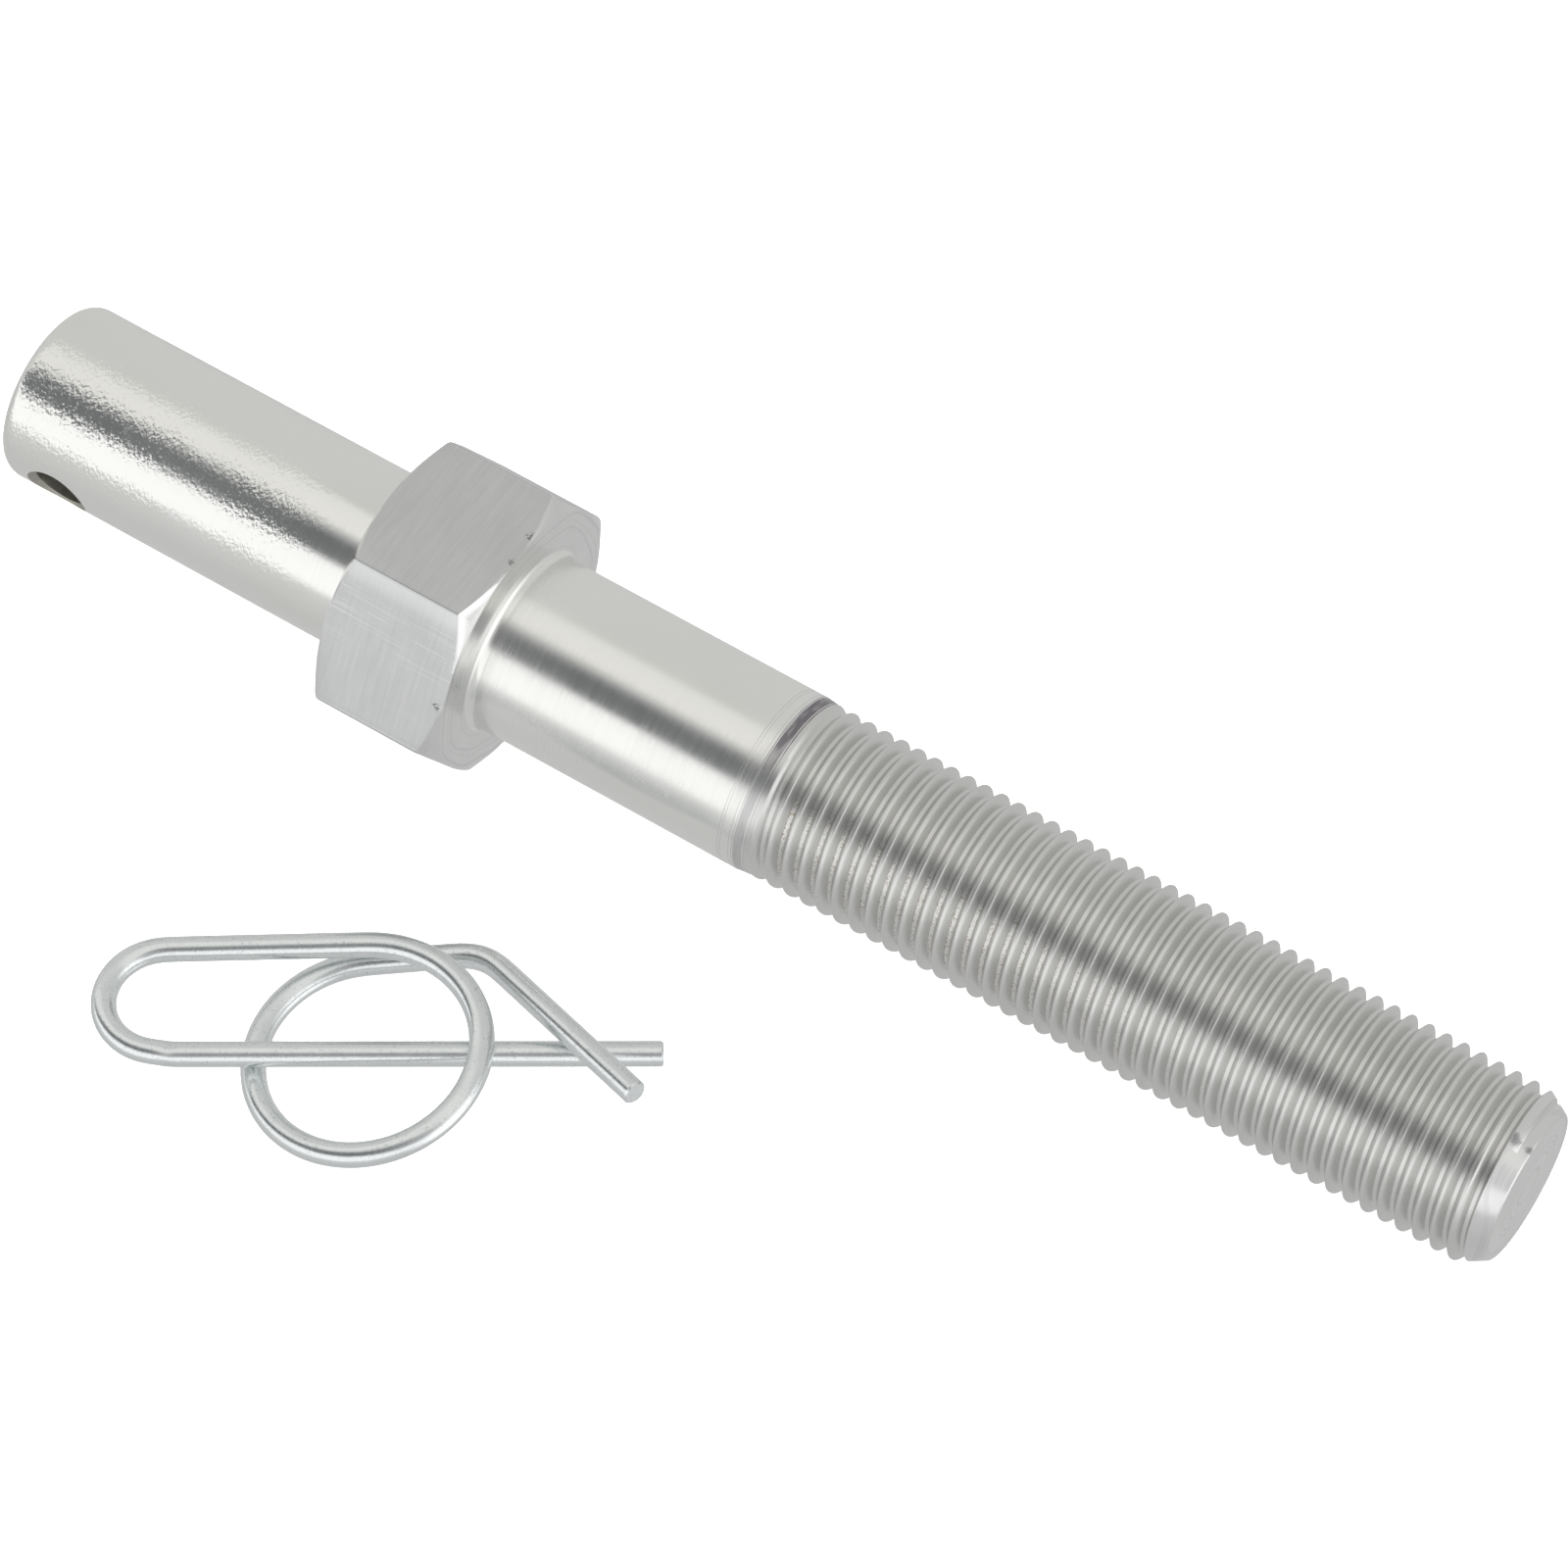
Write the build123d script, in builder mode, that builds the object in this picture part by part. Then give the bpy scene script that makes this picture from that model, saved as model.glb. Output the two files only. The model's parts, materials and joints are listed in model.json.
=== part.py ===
"""Threaded clevis-pin stud and its wire safety clip, lying side by side on a flat surface.

The stud is turned from one hexagon bar: a plain pin with a cross-hole, a hexagonal collar, a plain
shank and a long right-hand metric thread. The clip is one length of round spring wire, bent into a
straight leg, a U-shaped grip, one full ring and an angled lead-out leg. Units are millimetres, +Z is
up from the surface, and +X runs along the stud from the pin towards the thread.
"""
from build123d import *
from math import atan2, cos, radians, sin, tan
import os

os.makedirs("parts", exist_ok=True)

# ---- stud: lengths along its axis ----
PIN_LENGTH = 66.6
COLLAR_LENGTH = 23.0
SHANK_LENGTH = 48.5
THREAD_LENGTH = 131.3

# ---- stud: sections ----
PIN_DIAMETER = 29.9
SHANK_DIAMETER = 29.9
COLLAR_ACROSS_FLATS = 45.0
COLLAR_CHAMFER_ANGLE = 30.0
SHOULDER_FILLET = 1.5
PIN_END_RADIUS = 3.0

# ---- cross-hole for the clip, through the pin near its end ----
CROSS_HOLE_DIAMETER = 9.0
CROSS_HOLE_FROM_END = 11.1
CROSS_HOLE_TURN = 103.7  # degrees round the axis, from the collar's upper flat towards -Y
COUNTERSINK_DIAMETER = 11.0

# ---- thread: M30 x 3, right-hand, 60 degree included angle ----
THREAD_PITCH = 3.0
THREAD_CREST_DIAMETER = 29.45
THREAD_ROOT_DIAMETER = 26.32
THREAD_CREST_WIDTH = 0.70
THREAD_ROOT_WIDTH = 0.50
THREAD_RELIEF_LENGTH = 2.9
THREAD_RELIEF_CHAMFER = 1.7
THREAD_PHASE = 0.27  # share of a pitch by which the first groove is moved along
END_FACE_DIAMETER = 24.6
END_CHAMFER_ANGLE = 30.0

# ---- clip: round wire and its bends, seen from above; lengths run back from the straight leg's tip ----
WIRE_DIAMETER = 4.0
WIRE_END_CHAMFER = 0.3
RING_RADIUS = 17.8
RING_CENTRE = -45.2
RING_CORNERS = 12
GRIP_END = -85.7
GRIP_WIDTH = 18.5
LEAD_OUT_CORNER = -27.4
LEAD_OUT_END = (-4.0, -12.3)
LEAD_OUT_BEND_RADIUS = 8.0
BEND_FILL = 0.98  # share of each run that its two bends take up

# ---- clip: heights of the wire's centre line above the surface ----
WIRE_RADIUS = WIRE_DIAMETER / 2
LEG_RISE_PER_MM = 0.066
RING_TOP_HEIGHT = 8.05
RING_EXIT_HEIGHT = 2.8
LEAD_OUT_CORNER_HEIGHT = 4.3
LEAD_OUT_END_HEIGHT = 11.0

# ---- layout: the footprint of both pieces is centred on the origin ----
SHOULDER_FOOT = Vector(-46.06, 30.76, 0)
CLIP_TIP = Vector(7.32, -10.64, 0)
CLIP_TURN = 33.75

pin_radius = PIN_DIAMETER / 2
shank_radius = SHANK_DIAMETER / 2
half_flat = COLLAR_ACROSS_FLATS / 2
half_corner = half_flat / cos(radians(30))
crest_radius = THREAD_CREST_DIAMETER / 2
root_radius = THREAD_ROOT_DIAMETER / 2
end_face_radius = END_FACE_DIAMETER / 2
end_chamfer_length = (crest_radius - end_face_radius) / tan(radians(END_CHAMFER_ANGLE))

# The stud is made upright: origin on the axis at the thread-side shoulder, Z towards the thread's end,
# X through one flat of the collar. Stations are heights along that Z.
pin_end = -COLLAR_LENGTH - PIN_LENGTH
thread_start = SHANK_LENGTH + THREAD_RELIEF_LENGTH
thread_end = SHANK_LENGTH + THREAD_LENGTH
chamfer_start = thread_end - end_chamfer_length

# It then lies on the lower edge of its collar and on the thread's end, so its axis dips slightly.
axis_dip = atan2(half_flat - crest_radius, chamfer_start)
axis_dir = Vector(cos(axis_dip), 0, -sin(axis_dip))
upper_flat_dir = Vector(sin(axis_dip), 0, cos(axis_dip))
lying = Plane(origin=SHOULDER_FOOT + upper_flat_dir * half_flat, x_dir=upper_flat_dir, z_dir=axis_dir)


def corner_chamfer_outline(shoulder, inward):
    """Triangle that turns the collar's corners off at one shoulder; inward is +1 or -1."""
    reach = half_corner + 1
    depth = (reach - half_flat) * tan(radians(COLLAR_CHAMFER_ANGLE))
    return (half_flat, shoulder), (reach, shoulder), (reach, shoulder + inward * depth)


def thread_outline():
    """Half section of the thread from its first groove to the end face, one V-groove for each pitch."""
    flank = (THREAD_PITCH - THREAD_CREST_WIDTH - THREAD_ROOT_WIDTH) / 2
    points = [(crest_radius, thread_start)]
    foot = thread_start + THREAD_PHASE * THREAD_PITCH
    while foot + 2 * flank + THREAD_ROOT_WIDTH < chamfer_start:
        points += [
            (crest_radius, foot),
            (root_radius, foot + flank),
            (root_radius, foot + flank + THREAD_ROOT_WIDTH),
            (crest_radius, foot + 2 * flank + THREAD_ROOT_WIDTH),
        ]
        foot += THREAD_PITCH
    return (*points, (crest_radius, chamfer_start), (end_face_radius, thread_end))


def turned_outline():
    """Pin, collar core, shank and thread as one closed half section."""
    core_radius = pin_radius + 2 * SHOULDER_FILLET
    return (
        (0, pin_end),
        (pin_radius, pin_end),
        (pin_radius, -COLLAR_LENGTH),
        (core_radius, -COLLAR_LENGTH),
        (core_radius, 0),
        (shank_radius, 0),
        (shank_radius, SHANK_LENGTH),
        (crest_radius, SHANK_LENGTH + THREAD_RELIEF_CHAMFER),
        *thread_outline(),
        (0, thread_end),
    )


with BuildPart() as threaded_stud:
    # Collar: the bar's hexagon between the two shoulders, with its corners turned off
    with BuildSketch(Plane.XY.offset(-COLLAR_LENGTH)):
        RegularPolygon(half_flat, 6, major_radius=False, rotation=30)
    extrude(amount=COLLAR_LENGTH)
    with BuildSketch(Plane.XZ):
        with BuildLine():
            Polyline(*corner_chamfer_outline(0, -1), close=True)
        make_face()
        with BuildLine():
            Polyline(*corner_chamfer_outline(-COLLAR_LENGTH, 1), close=True)
        make_face()
    revolve(axis=Axis.Z, mode=Mode.SUBTRACT)

    # Pin, shank and grooved thread, with the fillets at both shoulders and the rounded pin end
    with BuildSketch(Plane.XZ) as turned:
        with BuildLine():
            Polyline(*turned_outline(), close=True)
        make_face()
        for corner, radius in (
            ((pin_radius, pin_end), PIN_END_RADIUS),
            ((pin_radius, -COLLAR_LENGTH), SHOULDER_FILLET),
            ((shank_radius, 0), SHOULDER_FILLET),
        ):
            fillet(turned.vertices().sort_by_distance(corner)[0], radius)
    revolve(axis=Axis.Z)

    # Cross-hole through the pin, countersunk at both mouths
    hole_centre = Vector(0, 0, pin_end + CROSS_HOLE_FROM_END)
    hole_dir = Vector(1, 0, 0).rotate(Axis.Z, CROSS_HOLE_TURN)
    for outward in (hole_dir, -hole_dir):
        with Locations(Plane(origin=hole_centre + outward * pin_radius, z_dir=outward)):
            CounterSinkHole(CROSS_HOLE_DIAMETER / 2, COUNTERSINK_DIAMETER / 2, depth=pin_radius)
threaded_stud.part.locate(lying.location)
threaded_stud.part.label = "threaded_stud"
export_step(threaded_stud.part, "parts/threaded_stud.step")


def ring_height(angle):
    """Height of the ring's centre line: high over the straight leg, down on the surface at its far side."""
    middle = (RING_TOP_HEIGHT + WIRE_RADIUS) / 2
    if angle >= 0:
        return RING_TOP_HEIGHT
    if angle >= -180:
        return middle + (RING_TOP_HEIGHT - middle) * cos(radians(angle))
    return WIRE_RADIUS + (RING_EXIT_HEIGHT - WIRE_RADIUS) * ((-180 - angle) / 75) ** 3


def ring_corners():
    """Corners of the polygon round the ring, in order from the grip's leg to the lead-out leg."""
    step = 360 / RING_CORNERS
    reach = RING_RADIUS / cos(radians(step / 2))
    corners = []
    for index in range(RING_CORNERS):
        angle = 90 - step * (index + 0.5)
        across, along = reach * sin(radians(angle)), reach * cos(radians(angle))
        corners.append((RING_CENTRE + along, across, ring_height(angle)))
    return corners


grip_height = WIRE_RADIUS - LEG_RISE_PER_MM * GRIP_END
clip_corners = [
    (GRIP_END, 0, grip_height),
    (GRIP_END, GRIP_WIDTH, grip_height),
    *ring_corners(),
    (LEAD_OUT_CORNER, RING_RADIUS, LEAD_OUT_CORNER_HEIGHT),
]
clip_radii = [
    *[BEND_FILL * GRIP_WIDTH / 2] * 2,
    *[BEND_FILL * RING_RADIUS] * RING_CORNERS,
    LEAD_OUT_BEND_RADIUS,
]
clip_frame = Plane(origin=CLIP_TIP, x_dir=Vector(1, 0, 0).rotate(Axis.Z, CLIP_TURN), z_dir=(0, 0, 1))

with BuildPart() as spring_clip:
    with BuildLine(clip_frame) as wire_path:
        FilletPolyline(
            (0, 0, WIRE_RADIUS),
            *clip_corners,
            (*LEAD_OUT_END, LEAD_OUT_END_HEIGHT),
            radius=clip_radii,
        )
    wire = wire_path.wire()
    with BuildSketch(Plane(origin=wire @ 0, z_dir=wire % 0)):
        Circle(WIRE_RADIUS)
    sweep(path=wire)
    chamfer(spring_clip.faces().filter_by(GeomType.PLANE).edges(), WIRE_END_CHAMFER)
spring_clip.part.label = "spring_clip"
export_step(spring_clip.part, "parts/spring_clip.step")
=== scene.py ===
"""Threaded clevis-pin stud and its wire safety clip, finished as bare aluminium and zinc-plated wire.

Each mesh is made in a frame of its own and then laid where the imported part's mounts say. The stud's frame
is upright: Z runs along the axis from the thread-side shoulder towards the thread's end, and X points out
of the collar's upper flat. "Station" means a height along that Z. Lengths are in millimetres until a mesh
or a shader takes them, in metres, and angles are in degrees round Z.
"""

import json
import math

import bmesh
import bpy
import numpy as np
from mathutils import Matrix, Vector


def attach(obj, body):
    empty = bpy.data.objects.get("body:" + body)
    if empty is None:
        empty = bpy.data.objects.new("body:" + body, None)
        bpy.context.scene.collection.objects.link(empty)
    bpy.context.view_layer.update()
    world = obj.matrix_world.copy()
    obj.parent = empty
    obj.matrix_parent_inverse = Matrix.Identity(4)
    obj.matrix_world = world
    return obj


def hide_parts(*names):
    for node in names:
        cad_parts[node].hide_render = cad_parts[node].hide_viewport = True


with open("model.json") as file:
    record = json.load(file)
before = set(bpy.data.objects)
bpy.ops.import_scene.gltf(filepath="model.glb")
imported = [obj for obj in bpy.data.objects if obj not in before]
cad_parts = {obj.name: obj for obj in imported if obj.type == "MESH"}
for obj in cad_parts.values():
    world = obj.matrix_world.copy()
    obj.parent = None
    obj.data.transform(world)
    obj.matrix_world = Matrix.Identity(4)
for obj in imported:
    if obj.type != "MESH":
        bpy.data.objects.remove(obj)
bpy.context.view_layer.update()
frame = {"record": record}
MM = 0.001
mounts = {mount["name"]: mount for mount in frame["record"]["mounts"]}

# ---- stud, in millimetres ----
PIN_END = -89.6
COLLAR_BACK = -23.0
SHANK_END = 48.5
PLAIN_RADIUS = mounts["plain_shank"]["dims"]["r_mm"]
HALF_FLAT = 22.5
CORNER_ROUND = 0.55
CHAMFER_SLOPE = math.tan(math.radians(30))  # of the collar's corners and of the thread's end
SHOULDER_FILLET = 1.5
PIN_END_RADIUS = 3.0
EDGE_SOFTNESS = 0.22
CHAMFER_SOFTNESS = 0.7
RELIEF_LENGTH = 1.7  # the short chamfer from the shank down to the thread's crest
THREAD_END = 179.8
CREST_RADIUS = mounts["thread"]["dims"]["r_mm"]
ROOT_RADIUS = 13.16
PITCH = 3.0
GROOVE_START = 50.6
GROOVE_FULL = 54.6
CREST_STATION = 173.4
CREST_ANGLE = -62.3
END_FACE_RADIUS = 12.3
HOLE_STATION = -78.5
HOLE_ANGLE = 103.7
HOLE_RADIUS = mounts["clip_hole"]["dims"]["r_mm"]
HOLE_MOUTH_RADIUS = 5.5
HOLE_MOUTH_SLOPE = math.tan(math.radians(41))
CUTTER_REACH = 2.0  # how far a cutter goes past the stud's surface

# ---- the stud's mesh ----
COLUMN_STEP = 1.5  # degrees
CORNER_COLUMNS = (0.22, 0.45, 0.65, 0.9)  # degrees from each corner of the collar
WELD = 0.0004 * MM  # in metres; vertices closer than this become one

# One pitch of the thread, from one crest's middle to the next: distance along, share of the full depth.
THREAD_PROFILE = (
    (0.0, 0.0),
    (0.12, 0.004),
    (0.22, 0.03),
    (0.34, 0.115),
    (0.96, 0.785),
    (1.18, 0.965),
    (1.5, 1.0),
    (1.82, 0.965),
    (2.04, 0.785),
    (2.66, 0.115),
    (2.78, 0.03),
    (2.88, 0.004),
)


def column_angles():
    """Angles of the stud's mesh columns, closer together across each corner of the collar."""
    angles = set(np.round(np.arange(-180, 180, COLUMN_STEP), 4))
    for corner in range(-150, 180, 60):
        for offset in CORNER_COLUMNS:
            angles.update((round(corner + offset, 4), round(corner - offset, 4)))
    return np.array(sorted(angles))


ANGLES = column_angles()


def hexagon_radius(angles):
    """Distance from the axis to the collar's side, with slightly rounded corners."""
    from_corner = np.radians((angles % 60) - 30)
    flat = HALF_FLAT / np.cos(np.radians(30) - np.abs(from_corner))
    centre = (HALF_FLAT - CORNER_ROUND) / math.cos(math.radians(30))
    reach = CORNER_ROUND**2 - (centre * np.sin(from_corner)) ** 2
    rounded = centre * np.cos(from_corner) + np.sqrt(np.maximum(reach, 0))
    return np.where(reach > 0, np.minimum(flat, rounded), flat)


def thread_depth(stations, angles):
    """Depth of the helical groove at each station and angle, fading in where the thread begins."""
    along = (stations - CREST_STATION - PITCH * (angles - CREST_ANGLE) / 360) % PITCH
    places, shares = zip(*THREAD_PROFILE, (PITCH, 0.0))
    run_in = np.clip((stations - GROOVE_START) / (GROOVE_FULL - GROOVE_START), 0, 1)
    return (CREST_RADIUS - ROOT_RADIUS) * np.interp(along, places, shares) * run_in * (2 - run_in)


def row(station, radius):
    """One row of the mesh: a station and a radius for every column."""
    return np.stack([np.broadcast_to(value, ANGLES.shape).astype(float) for value in (station, radius)])


def arc_rows(centre_station, centre_radius, radius, start, end, steps):
    """Rows round an arc in the half section; 0 degrees points outwards and 90 towards the thread."""
    turns = np.radians(np.linspace(start, end, steps + 1))
    return [row(centre_station + radius * np.sin(t), centre_radius + radius * np.cos(t)) for t in turns]


def soft_corner(before, corner, after, softness=EDGE_SOFTNESS):
    """Three rows that round the edge at the middle one of three rows."""
    rows = []
    for other in (before, after):
        step = other - corner
        length = np.maximum(np.hypot(*step), 1e-9)
        rows.append(corner + step * np.minimum(softness / length, 0.45))
    middle = (rows[0] + 2 * corner + rows[1]) / 4
    return [rows[0], middle, rows[1]]


def collar_rows():
    """The hexagonal collar, with its corners chamfered at both ends, between the two shoulder fillets."""
    side = hexagon_radius(ANGLES)
    depth = (side - HALF_FLAT) * CHAMFER_SLOPE
    foot = PLAIN_RADIUS + SHOULDER_FILLET
    back_foot = row(COLLAR_BACK, foot)
    back_edge = row(COLLAR_BACK, HALF_FLAT)
    back_side = row(COLLAR_BACK + depth, side)
    front_side = row(-depth, side)
    front_edge = row(0, HALF_FLAT)
    front_foot = row(0, foot)
    rows = soft_corner(back_foot, back_edge, back_side)
    rows += soft_corner(back_edge, back_side, front_side, CHAMFER_SOFTNESS)
    rows += [back_side + (front_side - back_side) * share for share in (0.25, 0.5, 0.75)]
    rows += soft_corner(back_side, front_side, front_edge, CHAMFER_SOFTNESS)
    rows += soft_corner(front_side, front_edge, front_foot)
    return rows


def thread_rows():
    """Rows that follow the helix, held between the groove's start and the stud's end."""
    start = GROOVE_START - 2 * PITCH
    turns = int((THREAD_END - start) / PITCH) + 3
    first_crest = CREST_STATION - PITCH * CREST_ANGLE / 360
    start += (first_crest - start) % PITCH - PITCH
    rows = []
    for turn in range(turns):
        for place, _ in THREAD_PROFILE:
            stations = start + turn * PITCH + place + PITCH * ANGLES / 360
            stations = np.clip(stations, GROOVE_START, THREAD_END)
            rows.append(np.stack([stations, CREST_RADIUS - thread_depth(stations, ANGLES)]))
    return rows


def plain_rows():
    """Rows from the pin's end face to the start of the groove."""
    rows = [row(PIN_END, radius) for radius in (0.6, 6.0, 11.0)]
    rounded = PLAIN_RADIUS - PIN_END_RADIUS
    rows += arc_rows(PIN_END + PIN_END_RADIUS, rounded, PIN_END_RADIUS, -90, 0, 10)
    rows += [row(station, PLAIN_RADIUS) for station in np.linspace(PIN_END + 6.6, COLLAR_BACK - 5, 12)]
    fillet_radius = PLAIN_RADIUS + SHOULDER_FILLET
    rows += arc_rows(COLLAR_BACK - SHOULDER_FILLET, fillet_radius, SHOULDER_FILLET, 180, 90, 7)
    rows += collar_rows()
    rows += arc_rows(SHOULDER_FILLET, fillet_radius, SHOULDER_FILLET, 270, 180, 7)
    rows += [row(station, PLAIN_RADIUS) for station in np.linspace(5, SHANK_END - 0.5, 10)]
    rows += [
        row(SHANK_END - 0.1, PLAIN_RADIUS),
        row(SHANK_END + 0.15, PLAIN_RADIUS - 0.05),
        row(SHANK_END + RELIEF_LENGTH - 0.2, CREST_RADIUS + 0.02),
        row(SHANK_END + RELIEF_LENGTH, CREST_RADIUS),
        row(GROOVE_START, CREST_RADIUS),
    ]
    return rows


def stitched(rows, columns, shift, first):
    """Quads between neighbouring rows; across the seam a row meets the one `shift` rows further on."""
    faces = []
    for index in range(len(rows) - 1):
        low, high = first + index * columns, first + (index + 1) * columns
        for column in range(columns - 1):
            faces.append((low + column, low + column + 1, high + column + 1, high + column))
        if index + 1 + shift < len(rows):
            jump = shift * columns
            last = columns - 1
            faces.append((low + last, low + jump, high + jump, high + last))
    return faces


def cap(mesh, station, corners, flip):
    """Closes an end with one vertex on the axis and a fan of triangles."""
    middle = mesh.verts.new((0, 0, station * MM))
    for a, b in zip(corners, corners[1:] + corners[:1]):
        mesh.faces.new((middle, b, a) if flip else (middle, a, b))


def weld(mesh, distance):
    """Joins vertices closer than a distance, and removes the edges and faces left without size."""
    bmesh.ops.remove_doubles(mesh, verts=mesh.verts, dist=distance)
    bmesh.ops.dissolve_degenerate(mesh, edges=mesh.edges, dist=distance / 2)


def stud_mesh():
    """The stud's closed surface before its end chamfer and cross-hole are cut."""
    plain, thread = plain_rows(), thread_rows()
    columns = len(ANGLES)
    turns = np.radians(ANGLES)
    mesh = bmesh.new()
    for stations, radii in plain + thread:
        for x, y, z in zip(radii * np.cos(turns), radii * np.sin(turns), stations):
            mesh.verts.new((x * MM, y * MM, z * MM))
    mesh.verts.ensure_lookup_table()
    faces = stitched(plain, columns, 0, 0)
    faces += stitched(thread, columns, len(THREAD_PROFILE), len(plain) * columns)
    for face in faces:
        mesh.faces.new([mesh.verts[index] for index in face])
    rings = list(mesh.verts)
    cap(mesh, PIN_END, rings[:columns], True)
    cap(mesh, THREAD_END, rings[-columns:], False)
    weld(mesh, WELD)
    bmesh.ops.recalc_face_normals(mesh, faces=mesh.faces)
    return mesh


def turned_solid(name, outline, axis, centre, material, steps=96):
    """A closed solid turned from an outline of (radius, height) round an axis through centre."""
    mesh = bmesh.new()
    turn = Vector((0, 0, 1)).rotation_difference(Vector(axis))
    rings = []
    for radius, height in outline:
        ring = []
        for step in range(steps):
            angle = math.tau * step / steps
            point = Vector((radius * math.cos(angle), radius * math.sin(angle), height))
            ring.append(mesh.verts.new((Vector(centre) + turn @ point) * MM))
        rings.append(ring)
    for ring, following in zip(rings, rings[1:] + rings[:1]):
        for step in range(steps):
            after = (step + 1) % steps
            mesh.faces.new((ring[step], ring[after], following[after], following[step]))
    bmesh.ops.remove_doubles(mesh, verts=mesh.verts, dist=WELD)
    bmesh.ops.recalc_face_normals(mesh, faces=mesh.faces)
    return mesh_object(name, mesh, [material])


def mesh_object(name, mesh, materials):
    """A scene object from a bmesh, which is freed."""
    data = bpy.data.meshes.new(name)
    mesh.to_mesh(data)
    mesh.free()
    for material in materials:
        data.materials.append(material)
    piece = bpy.data.objects.new(name, data)
    bpy.context.collection.objects.link(piece)
    return piece


def cut(piece, cutter):
    """Takes the cutter's volume out of the piece and welds the slivers.

    The faces of the cut take the cutter's material.
    """
    step = piece.modifiers.new("cut", "BOOLEAN")
    step.operation = "DIFFERENCE"
    step.solver = "EXACT"
    step.object = cutter
    step.material_mode = "TRANSFER"
    result = piece.evaluated_get(bpy.context.evaluated_depsgraph_get())
    data = bpy.data.meshes.new_from_object(result)
    piece.modifiers.remove(step)
    mesh = bmesh.new()
    mesh.from_mesh(data)
    weld(mesh, 2 * WELD)
    mesh.to_mesh(data)
    mesh.free()
    piece.data = data
    bpy.data.objects.remove(cutter)


def smooth(piece, sharp_angle):
    """Smooth shading, except across edges that turn by more than sharp_angle degrees."""
    piece.data.shade_smooth()
    piece.data.set_sharp_from_angle(angle=math.radians(sharp_angle))


def add_node(tree, kind, inputs=None, **settings):
    """A node with its settings, and its inputs given by name or number as values or sockets."""
    node = tree.nodes.new(kind)
    for key, value in settings.items():
        setattr(node, key, value)
    for key, value in (inputs or {}).items():
        if isinstance(value, bpy.types.NodeSocket):
            tree.links.new(value, node.inputs[key])
        else:
            node.inputs[key].default_value = value
    return node


# ---- materials: places and heights are in millimetres, noise scales are features per metre ----

# Lines that the tool scored round the bar: station and half-width.
SHANK_LINES = ((45.9, 0.13), (46.4, 0.10), (47.9, 0.15))
RELIEF_LINES = ((48.6, 0.16), (50.3, 0.14))

# Chips along the collar's front edge, and dark reflections painted on the thread's end: centre and radius.
CHIPS = (((22.5, -4.9, -0.4), 1.1), ((22.5, 0.6, -0.3), 0.9), ((8.0, 21.4, -1.2), 0.8))
PAINTED_DARK_REFLECTIONS = (((13.9, 1.2, 177.1), 1.5), ((12.5, 0.9, 179.4), 1.0))


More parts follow.
